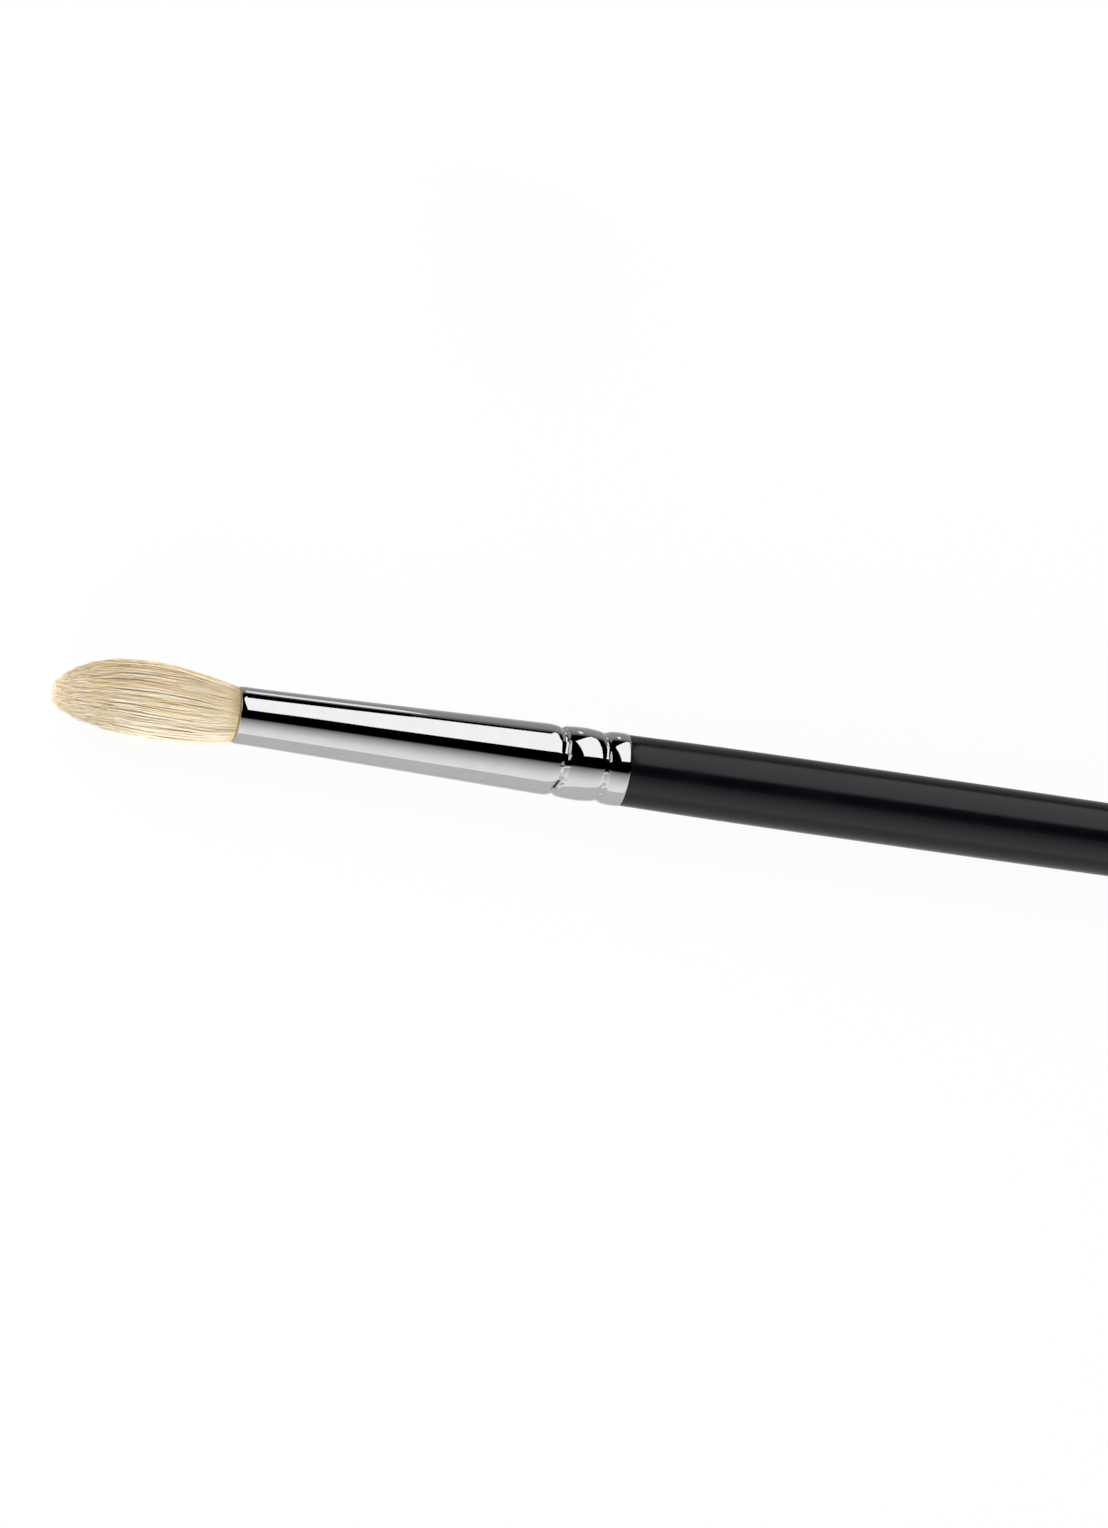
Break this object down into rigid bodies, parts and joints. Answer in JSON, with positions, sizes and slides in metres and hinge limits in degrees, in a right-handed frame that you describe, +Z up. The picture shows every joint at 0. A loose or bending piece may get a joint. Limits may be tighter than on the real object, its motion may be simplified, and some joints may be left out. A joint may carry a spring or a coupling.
{
  "type": "eyeshadow brush",
  "caption": "Round tapered eyeshadow brush: natural-hair tuft, crimped tapered metal ferrule and a slim turned wooden handle with a rounded butt.",
  "frame": {"origin": "middle of the brush's bounding box at its lowest point, which is the table that it lies on", "axes": "+X along the brush from the tuft to the butt of the handle, +Z up from the table, +Y the side to which the tuft bows slightly"},
  "size_m": [0.18, 0.0069, 0.0067],
  "materials": {
    "natural_hair": "fine cream-coloured goat hair, straight, soft and slightly glossy along the strands",
    "tying_thread": "twisted undyed cotton thread",
    "clear_resin": "cured amber epoxy resin",
    "nickel_plate": "seamless drawn brass tube, polished and nickel plated to a mirror",
    "wood_glue": "hardened wood glue",
    "black_lacquer": "turned hardwood under several coats of satin black lacquer, with a faint orange peel"
  },
  "bodies": {
    "root": {"hair_tuft": "natural_hair", "root_thread": "tying_thread", "root_resin": "clear_resin", "ferrule": "nickel_plate", "tenon_glue": "wood_glue", "handle": "black_lacquer"}
  },
  "joints": []
}
